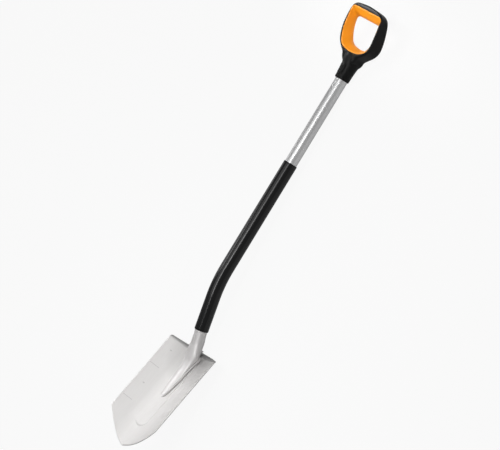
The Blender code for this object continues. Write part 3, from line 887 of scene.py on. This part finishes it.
def grain_group():
    """Noise on stretched object coordinates: a value about zero and a bumped normal."""
    tree, given, out = group(
        "surface_grain",
        [
            ("Vector", "Vector", None),
            ("Stretch", "Vector", (1, 1, 1)),
            ("Scale", "Float", 200.0),
            ("Height", "Float", 0.0001),
        ],
        [("Value", "Float"), ("Normal", "Vector")],
    )
    stretch = tree.nodes.new("ShaderNodeVectorMath")
    stretch.operation = "MULTIPLY"
    tree.links.new(given["Vector"], stretch.inputs[0])
    tree.links.new(given["Stretch"], stretch.inputs[1])
    noise = tree.nodes.new("ShaderNodeTexNoise")
    noise.inputs["Detail"].default_value = GRAIN_DETAIL
    tree.links.new(stretch.outputs[0], noise.inputs["Vector"])
    tree.links.new(given["Scale"], noise.inputs["Scale"])
    tree.links.new(maths(tree, "SUBTRACT", noise.outputs[0], 0.5), out["Value"])
    bump = tree.nodes.new("ShaderNodeBump")
    bump.inputs["Strength"].default_value = 1.0
    tree.links.new(given["Height"], bump.inputs["Distance"])
    tree.links.new(noise.outputs[0], bump.inputs["Height"])
    tree.links.new(bump.outputs[0], out["Normal"])
    return tree


def tint_group():
    """A colour made lighter or darker by a value about zero."""
    tree, given, out = group(
        "tint",
        [("Color", "Color", (1, 1, 1, 1)), ("Value", "Float", 0.0), ("Amount", "Float", 0.1)],
        [("Color", "Color")],
    )
    level = maths(tree, "ADD", maths(tree, "MULTIPLY", given["Value"], given["Amount"]), 1.0)
    scaled = tree.nodes.new("ShaderNodeVectorMath")
    scaled.operation = "SCALE"
    tree.links.new(given["Color"], scaled.inputs[0])
    tree.links.new(level, scaled.inputs["Scale"])
    tree.links.new(scaled.outputs[0], out["Color"])
    return tree


def bar_group():
    """1 inside a bar given by its middle and half size along two coordinates, with soft edges."""
    inputs = [("First", "Float", 0.0), ("Second", "Float", 0.0), ("Edge", "Float", MARK_EDGE)]
    for label in ("First", "Second"):
        inputs += [(label + " middle", "Float", 0.0), (label + " half", "Float", 0.01)]
    tree, given, out = group("bar", inputs, [("Mask", "Float")])
    masks = []
    for label in ("First", "Second"):
        off = maths(tree, "SUBTRACT", given[label], given[label + " middle"])
        away = maths(tree, "ABSOLUTE", off)
        inside = maths(tree, "SUBTRACT", given[label + " half"], away)
        edges = maths(tree, "DIVIDE", inside, given["Edge"])
        masks.append(between(tree, maths(tree, "ADD", edges, 0.5)))
    tree.links.new(maths(tree, "MULTIPLY", *masks), out["Mask"])
    return tree


GRAIN = grain_group()
TINT = tint_group()
BAR = bar_group()


class Look:
    """A material with a grained and tinted base, and its place in the piece's own frame."""

    def __init__(self, name, colour, roughness, metallic, specular, to_own=None):
        self.material = bpy.data.materials.new(name)
        self.material.use_nodes = True
        self.tree = self.material.node_tree
        self.colour = (*colour, 1.0)
        self.shader = self.tree.nodes["Principled BSDF"].inputs
        self.shader["Roughness"].default_value = roughness
        self.shader["Metallic"].default_value = metallic
        self.shader["Specular IOR Level"].default_value = specular
        self.place = self.tree.nodes.new("ShaderNodeTexCoord").outputs["Object"]
        if to_own is not None:
            mapping = self.tree.nodes.new("ShaderNodeMapping")
            mapping.inputs["Location"].default_value = to_own.translation
            mapping.inputs["Rotation"].default_value = to_own.to_euler()
            self.tree.links.new(self.place, mapping.inputs["Vector"])
            self.place = mapping.outputs[0]

    def grain(self, stretch, scale, height, amount):
        values = {"Vector": self.place, "Stretch": stretch, "Scale": scale, "Height": height}
        surface = use(self.tree, GRAIN, values)
        self.tint(surface["Value"], amount)
        self.tree.links.new(surface["Normal"], self.shader["Normal"])

    def tint(self, value, amount):
        linked = self.shader["Base Color"].links
        colour = linked[0].from_socket if linked else self.colour
        tinted = use(self.tree, TINT, {"Color": colour, "Value": value, "Amount": amount})
        self.tree.links.new(tinted["Color"], self.shader["Base Color"])


def axes_matrix(directions, origin):
    """Matrix of a frame from the directions of its three axes and its origin."""
    own = Matrix.Identity(4)
    for column, direction in enumerate(directions):
        for row in range(3):
            own[row][column] = direction[row]
    own.translation = origin
    return own


def blade_to_world():
    """The blade's own frame, across, up and out, in the world."""
    origin = from_blade(0, 0, 0)
    directions = [from_blade(*end) - origin for end in ((1, 0, 0), (0, 1, 0), (0, 0, 1))]
    return SPADE_TO_WORLD @ axes_matrix(directions, origin)


def satin_steel():
    """Pressed blade steel, brushed along its length, with engraved depth marks and painted shade.
    """
    look = Look("satin_steel_visual", *BLADE_FINISH, blade_to_world().inverted())
    look.grain(*BLADE_GRAIN)
    parts = look.tree.nodes.new("ShaderNodeSeparateXYZ")
    look.tree.links.new(look.place, parts.inputs[0])
    across, up = parts.outputs[0], parts.outputs[1]
    marks = [(*mark, LONG_MARK_HALF_HEIGHT) for mark in LONG_MARKS]
    marks += [(*mark, SHORT_MARK_HALF_HEIGHT) for mark in SHORT_MARKS]
    total = None
    for height, middle, half_length, half_height in marks:
        mask = use(look.tree, BAR, {
            "First": across,
            "Second": up,
            "First middle": middle,
            "First half": half_length,
            "Second middle": height,
            "Second half": half_height,
        })["Mask"]
        total = mask if total is None else maths(look.tree, "MAXIMUM", total, mask)
    look.tint(total, MARK_TINT)
    # Painted shade: the blade darkened round the socket, where its shadow falls
    away = look.tree.nodes.new("ShaderNodeVectorMath")
    away.operation = "DISTANCE"
    look.tree.links.new(look.place, away.inputs[0])
    away.inputs[1].default_value = PAINTED_SHADE_PLACE
    look.tint(ramp(look.tree, PAINTED_SHADE_REACH, away.outputs["Value"], PAINTED_SHADE_FADE), PAINTED_SHADE_TINT)
    # Painted shade: darker along the tread's fold
    look.tint(ramp(look.tree, up, FOLD_SHADE_START, FOLD_SHADE_FADE), FOLD_PAINTED_SHADE)
    return look.material


def tube_steel():
    """Drawn tube, bright above the sleeve and satin at the socket, which is heated and blasted."""
    finish = (SOCKET_COLOUR, SOCKET_ROUGHNESS, SOCKET_METALLIC, TUBE_SPECULAR)
    look = Look("tube_steel_visual", *finish, SPADE_TO_WORLD.inverted())
    parts = look.tree.nodes.new("ShaderNodeSeparateXYZ")
    look.tree.links.new(look.place, parts.inputs[0])
    drawn = ramp(look.tree, parts.outputs[2], SLEEVE_BOTTOM, FINISH_CHANGE)
    blend = look.tree.nodes.new("ShaderNodeMix")
    blend.data_type = "RGBA"
    blend.inputs["A"].default_value = (*SOCKET_COLOUR, 1.0)
    blend.inputs["B"].default_value = (*TUBE_COLOUR, 1.0)
    look.tree.links.new(drawn, blend.inputs["Factor"])
    look.tree.links.new(blend.outputs["Result"], look.shader["Base Color"])
    changes = (
        ("Roughness", SOCKET_ROUGHNESS, TUBE_ROUGHNESS),
        ("Metallic", SOCKET_METALLIC, TUBE_METALLIC),
    )
    for label, at_socket, above in changes:
        change = maths(look.tree, "MULTIPLY", drawn, above - at_socket)
        look.tree.links.new(maths(look.tree, "ADD", change, at_socket), look.shader[label])
    look.grain(*TUBE_GRAIN)
    return look.material


def plain_look(name, finish, grain):
    look = Look(name, *finish)
    look.grain(*grain)
    return look.material


def make_pieces():
    weld = plain_look("weld_steel_visual", WELD_FINISH, WELD_GRAIN)
    sleeve = plain_look("sleeve_plastic_visual", SLEEVE_FINISH, SLEEVE_GRAIN)
    black = plain_look("black_plastic_visual", BODY_FINISH, BODY_GRAIN)
    orange = plain_look("orange_plastic_visual", LINER_FINISH, LINER_GRAIN)
    zinc = plain_look("zinc_screw_visual", SCREW_FINISH, SCREW_GRAIN)
    make_blade(satin_steel())
    make_tube(tube_steel())
    make_left_bead(weld)
    make_right_bead(weld)
    make_tread_bead(weld)
    make_sleeve(sleeve)
    make_liner(orange)
    make_body(black)
    make_screw(zinc)


# Studio


def by_ray(tree, others, mirrored):
    """1 for camera and transmission rays, and two lower values for others and for mirrored ones."""
    path = tree.nodes.new("ShaderNodeLightPath").outputs
    change = maths(tree, "MULTIPLY", path["Is Glossy Ray"], mirrored - others)
    seen = maths(tree, "MAXIMUM", path["Is Camera Ray"], path["Is Transmission Ray"])
    return maths(tree, "MAXIMUM", maths(tree, "ADD", change, others), seen)


def make_world():
    """White behind the object, and dimmer round it, so that the lamps shape the metal."""
    world = bpy.data.worlds.new("studio")
    bpy.context.scene.world = world
    world.use_nodes = True
    tree = world.node_tree
    background = tree.nodes["Background"].inputs
    background["Color"].default_value = (1, 1, 1, 1)
    tree.links.new(by_ray(tree, AMBIENT, REFLECTED), background["Strength"])


def make_floor():
    shape = bmesh.new()
    bmesh.ops.create_grid(shape, x_segments=1, y_segments=1, size=FLOOR_HALF_SIZE)
    mesh = bpy.data.meshes.new("floor")
    shape.to_mesh(mesh)
    shape.free()
    material = bpy.data.materials.new("floor_pale")
    material.use_nodes = True
    tree = material.node_tree
    shader = tree.nodes["Principled BSDF"]
    shader.inputs["Base Color"].default_value = FLOOR_COLOUR
    shader.inputs["Roughness"].default_value = 1.0
    shader.inputs["Specular IOR Level"].default_value = 0.0
    white = tree.nodes.new("ShaderNodeEmission")
    white.inputs["Strength"].default_value = 1.0
    blend = tree.nodes.new("ShaderNodeMixShader")
    share = maths(tree, "MULTIPLY", by_ray(tree, 0.0, FLOOR_REFLECTED_SHARE), FLOOR_WHITE_SHARE)
    tree.links.new(share, blend.inputs[0])
    tree.links.new(shader.outputs[0], blend.inputs[1])
    tree.links.new(white.outputs[0], blend.inputs[2])
    tree.links.new(blend.outputs[0], tree.nodes["Material Output"].inputs["Surface"])
    mesh.materials.append(material)
    floor = bpy.data.objects.new("floor", mesh)
    bpy.context.scene.collection.objects.link(floor)


def make_lamps():
    for name, place, aim, size, spread, power in LAMPS:
        data = bpy.data.lights.new(name, "AREA")
        data.shape = "RECTANGLE"
        data.size, data.size_y = size
        data.spread = math.radians(spread)
        data.energy = power
        lamp = bpy.data.objects.new(name, data)
        lamp.location = place
        lamp.rotation_euler = (Vector(place) - Vector(aim)).to_track_quat("Z", "Y").to_euler()
        bpy.context.scene.collection.objects.link(lamp)


def make_camera():
    data = bpy.data.cameras.new("camera")
    data.sensor_width = SENSOR_WIDTH
    data.lens = SENSOR_WIDTH * VIEW_DISTANCE * PIXELS_PER_METRE / PICTURE_WIDTH
    data.clip_end = VIEW_CLIP_END
    data.dof.use_dof = False
    out = Vector((
        math.sin(VIEW_AZIMUTH) * math.cos(VIEW_ELEVATION),
        -math.cos(VIEW_AZIMUTH) * math.cos(VIEW_ELEVATION),
        math.sin(VIEW_ELEVATION),
    ))
    level = Vector((math.cos(VIEW_AZIMUTH), math.sin(VIEW_AZIMUTH), 0))
    upright = out.cross(level)
    right = level * math.cos(VIEW_ROLL) + upright * math.sin(VIEW_ROLL)
    up = upright * math.cos(VIEW_ROLL) - level * math.sin(VIEW_ROLL)
    place = VIEW_AIM + level * VIEW_ASIDE + upright * VIEW_ABOVE + out * VIEW_DISTANCE
    camera = bpy.data.objects.new("camera", data)
    camera.matrix_world = SPADE_TO_WORLD @ axes_matrix((right, up, out), place)
    bpy.context.scene.collection.objects.link(camera)
    bpy.context.scene.camera = camera


bpy.context.scene.view_settings.view_transform = "Standard"
make_camera()
make_pieces()
make_world()
make_floor()
make_lamps()
